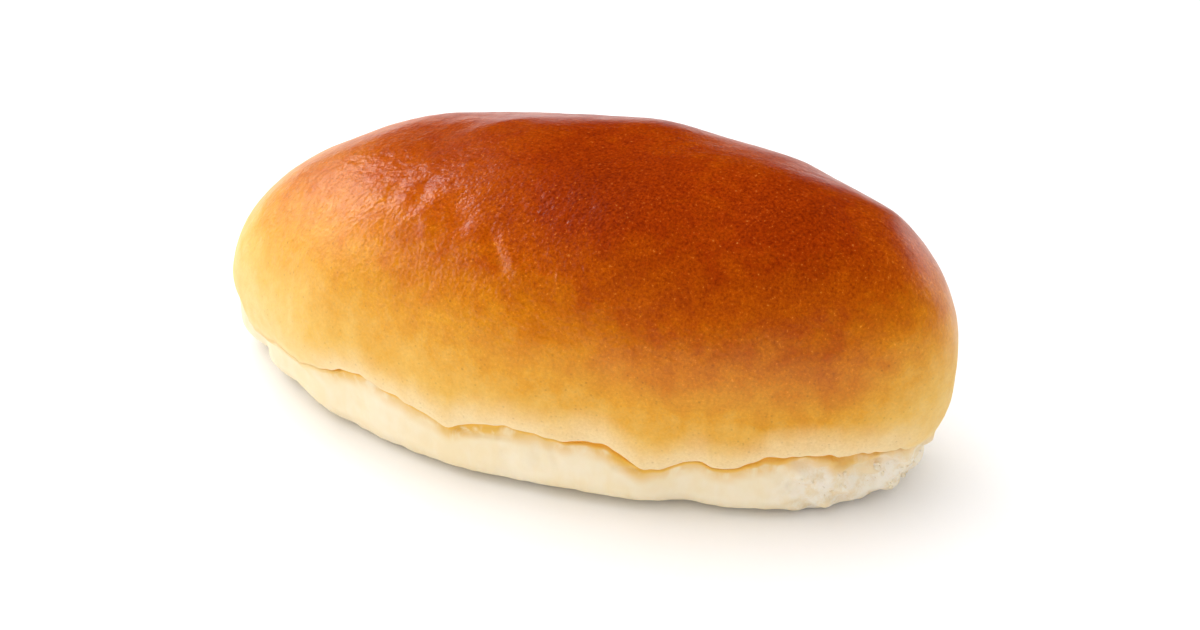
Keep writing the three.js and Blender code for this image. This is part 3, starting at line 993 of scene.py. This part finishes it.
class RollSettings(bpy.types.PropertyGroup):
    """Sizes and colours that a user would change."""

    length: bpy.props.FloatProperty(
        name="Length", description="Length of the widest outline", default=0.125, unit="LENGTH")
    width: bpy.props.FloatProperty(
        name="Width", description="Width of the widest outline", default=0.0628, unit="LENGTH")
    height: bpy.props.FloatProperty(
        name="Height", description="Height at the middle", default=0.0493, unit="LENGTH")
    fold_height: bpy.props.FloatProperty(
        name="Fold height", description="Height of the fold over the base band",
        default=0.0124, unit="LENGTH")
    fold_depth: bpy.props.FloatProperty(
        name="Fold depth", description="How far the open fold runs in", default=0.0016, unit="LENGTH")
    swell_height: bpy.props.FloatProperty(
        name="Swell height", description="Broad unevenness of the crust",
        default=0.00016, unit="LENGTH", precision=5)
    wrinkle_height: bpy.props.FloatProperty(
        name="Wrinkle height", description="Short wrinkles of the glossy skin",
        default=0.0001, unit="LENGTH", precision=5)
    pore_depth: bpy.props.FloatProperty(
        name="Pore depth", description="Depth of the pores in the crust",
        default=0.00016, unit="LENGTH", precision=5)
    crumb_depth: bpy.props.FloatProperty(
        name="Crumb depth", description="Depth of the torn crumb's holes",
        default=0.0007, unit="LENGTH", precision=5)
    crumb_density: bpy.props.FloatProperty(
        name="Crumb density", description="Clinging crumbs for each square metre of torn crumb",
        default=320000.0)
    crumb_smallest: bpy.props.FloatProperty(
        name="Smallest crumb", description="Half size of the smallest crumb",
        default=0.00025, unit="LENGTH", precision=5)
    crumb_largest: bpy.props.FloatProperty(
        name="Largest crumb", description="Half size of the largest crumb",
        default=0.0009, unit="LENGTH", precision=5)
    band_pale: bpy.props.FloatVectorProperty(
        name="Band, pale", description="Pale tone of the base band", size=4, subtype="COLOR",
        default=linear(255, 241, 212), min=0, max=1)
    band_deep: bpy.props.FloatVectorProperty(
        name="Band, deep", description="Deeper tone of the base band", size=4, subtype="COLOR",
        default=linear(252, 232, 190), min=0, max=1)
    crumb_pale: bpy.props.FloatVectorProperty(
        name="Crumb, pale", description="Pale tone of the torn crumb", size=4, subtype="COLOR",
        default=linear(254, 244, 226), min=0, max=1)
    crumb_deep: bpy.props.FloatVectorProperty(
        name="Crumb, deep", description="Tone in the crumb's holes", size=4, subtype="COLOR",
        default=linear(246, 226, 188), min=0, max=1)
    # Painted golden glow of light bounced below the open fold
    painted_bounce_below_fold: bpy.props.FloatVectorProperty(
        name="Fold, tint", description="Golden tint below the open fold", size=4, subtype="COLOR",
        default=linear(240, 192, 92), min=0, max=1)
    # Painted shade and bounced golden glow inside the open fold and along its line
    fold_shade_and_glow: bpy.props.FloatVectorProperty(
        name="Fold", description="Tone inside the open fold", size=4, subtype="COLOR",
        default=linear(250, 202, 88), min=0, max=1)
    speck_dark: bpy.props.FloatVectorProperty(
        name="Dark specks", description="Tone of the dark specks", size=4, subtype="COLOR",
        default=linear(120, 45, 10), min=0, max=1)
    speck_light: bpy.props.FloatVectorProperty(
        name="Light specks", description="Tone of the light specks", size=4, subtype="COLOR",
        default=linear(240, 172, 80), min=0, max=1)
    floor_colour: bpy.props.FloatVectorProperty(
        name="Table", description="Tone of the table", size=4, subtype="COLOR",
        default=(0.96, 0.96, 0.975, 1.0), min=0, max=1)
    window_power: bpy.props.FloatProperty(
        name="Window light", description="Power of the light from behind on the left",
        default=0.7, unit="POWER")
    overhead_power: bpy.props.FloatProperty(
        name="Overhead light", description="Power of the broad light from above",
        default=4.8, unit="POWER")
    fill_power: bpy.props.FloatProperty(
        name="Front fill", description="Power of the soft light from the front",
        default=1.2, unit="POWER")
    glint_power: bpy.props.FloatProperty(
        name="Window glint", description="Power of the window that the crust reflects",
        default=1.1, unit="POWER")
    sheen_power: bpy.props.FloatProperty(
        name="Sheen", description="Power of the pale wall that the left shoulder reflects",
        default=3.2, unit="POWER")
    rim_power: bpy.props.FloatProperty(
        name="Rim glint", description="Power of the pale wall that the right rim reflects",
        default=1.1, unit="POWER")
    sky_strength: bpy.props.FloatProperty(
        name="Sky", description="Strength of the even light from all round", default=2.75)
    surround: bpy.props.FloatProperty(
        name="Surround", description="Strength of the white behind the table", default=1.0)


class BREADROLL_OT_stage(bpy.types.Operator):
    """Sets the table, the lights and the camera"""

    bl_idname = "breadroll.stage"
    bl_label = "Set the stage"

    def execute(self, context):
        settings = context.scene.bread_roll
        self.add_camera(context)
        self.add_floor(context, settings)
        self.add_lights(context, settings)
        context.scene.view_settings.view_transform = "Standard"
        return {"FINISHED"}

    def add_camera(self, context):
        a, e = CAMERA_AZIMUTH, CAMERA_ELEVATION
        back = Vector((math.sin(a) * math.cos(e), -math.cos(a) * math.cos(e), math.sin(e)))
        right = Vector((math.cos(a), math.sin(a), 0))
        up = back.cross(right)
        origin = Vector((SHIFT_X, SHIFT_Y, 0)) * MM
        target = origin + right * FRAME_MIDDLE_RIGHT + up * FRAME_MIDDLE_UP
        data = bpy.data.cameras.new("Camera")
        data.sensor_width = SENSOR_WIDTH
        data.lens = PIXELS_PER_MM * CAMERA_DISTANCE / MM / PHOTO_WIDTH * SENSOR_WIDTH
        data.clip_start = CLIP_START
        camera = bpy.data.objects.new("Camera", data)
        camera.location = target + back * CAMERA_DISTANCE
        camera.rotation_euler = back.to_track_quat("Z", "Y").to_euler()
        context.scene.collection.objects.link(camera)
        context.scene.camera = camera

    def add_floor(self, context, settings):
        half = TABLE_HALF
        mesh = bpy.data.meshes.new("table")
        square = [(-half, -half, 0), (half, -half, 0), (half, half, 0), (-half, half, 0)]
        mesh.from_pydata(square, [], [(0, 1, 2, 3)])
        mesh.materials.append(floor_material(settings))
        floor = bpy.data.objects.new("table", mesh)
        context.scene.collection.objects.link(floor)

    def add_lights(self, context, settings):
        world = bpy.data.worlds.new("Surround")
        world.use_nodes = True
        shade = world.node_tree.nodes["Background"]
        shade.inputs["Color"].default_value = SURROUND_COLOUR
        shade.inputs["Strength"].default_value = settings.surround
        world.cycles_visibility.diffuse = False
        world.cycles_visibility.glossy = False
        context.scene.world = world
        soft = [self.add_sky(context, settings.sky_strength)]
        soft += [self.add_light(context, settings, *row) for row in SOFT_LIGHTS]
        for lamp in soft:
            lamp.visible_glossy = False
            lamp.data.cycles.use_multiple_importance_sampling = False
        for row in REFLECTED_LIGHTS:
            self.add_light(context, settings, *row).visible_diffuse = False

    def add_sky(self, context, strength):
        """An even light from nearly the whole sky."""
        data = bpy.data.lights.new("Sky", "SUN")
        data.angle = SKY_ANGLE
        data.energy = strength
        lamp = bpy.data.objects.new("Sky", data)
        lamp.location = (0, 0, 1)
        context.scene.collection.objects.link(lamp)
        return lamp

    def add_light(self, context, settings, name, direction, distance, wide, high, power):
        data = bpy.data.lights.new(name, "AREA")
        data.shape = "RECTANGLE"
        data.size, data.size_y = wide, high
        data.energy = getattr(settings, power)
        lamp = bpy.data.objects.new(name, data)
        towards = Vector(direction).normalized()
        lamp.location = towards * distance + LIGHT_AIM
        lamp.rotation_euler = towards.to_track_quat("Z", "Y").to_euler()
        context.scene.collection.objects.link(lamp)
        return lamp


class BREADROLL_OT_roll(bpy.types.Operator):
    """Builds the roll's fine skin in place of its plain solid"""

    bl_idname = "breadroll.roll"
    bl_label = "Build the roll"

    def execute(self, context):
        settings = context.scene.bread_roll
        shape = RollMesh(Body(settings))
        shape.build()
        skin = skin_tree(settings, crust_material(settings))
        roll = skin.run(shape.to_mesh("plain_roll"), "roll_skin")
        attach(roll, "root")
        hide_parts("bread_roll")
        return {"FINISHED"}


class BREADROLL_OT_crumbs(bpy.types.Operator):
    """Scatters the crumbs that cling to the torn corner"""

    bl_idname = "breadroll.crumbs"
    bl_label = "Scatter the crumbs"

    def execute(self, context):
        settings = context.scene.bread_roll
        roll = bpy.data.objects["roll_skin"]
        scatter = crumb_tree(settings, crumb_material(settings))
        crumbs = scatter.run(roll.data.copy(), "torn_crumbs")
        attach(crumbs, "root")
        return {"FINISHED"}


class BREADROLL_PT_panel(bpy.types.Panel):
    """Lists the roll's sizes, colours and steps"""

    bl_label = "Bread roll"
    bl_space_type = "VIEW_3D"
    bl_region_type = "UI"
    bl_category = "Bread roll"

    def draw(self, context):
        settings = context.scene.bread_roll
        for name in settings.__annotations__:
            self.layout.prop(settings, name)
        for operator in OPERATORS:
            self.layout.operator(operator.bl_idname)


OPERATORS = (BREADROLL_OT_stage, BREADROLL_OT_roll, BREADROLL_OT_crumbs)
CLASSES = (RollSettings, *OPERATORS, BREADROLL_PT_panel)


def register():
    for item in CLASSES:
        bpy.utils.register_class(item)
    bpy.types.Scene.bread_roll = bpy.props.PointerProperty(type=RollSettings)


def unregister():
    del bpy.types.Scene.bread_roll
    for item in reversed(CLASSES):
        bpy.utils.unregister_class(item)


def main():
    register()
    bpy.ops.breadroll.stage()
    bpy.ops.breadroll.roll()
    bpy.ops.breadroll.crumbs()


if __name__ == "__main__":
    main()
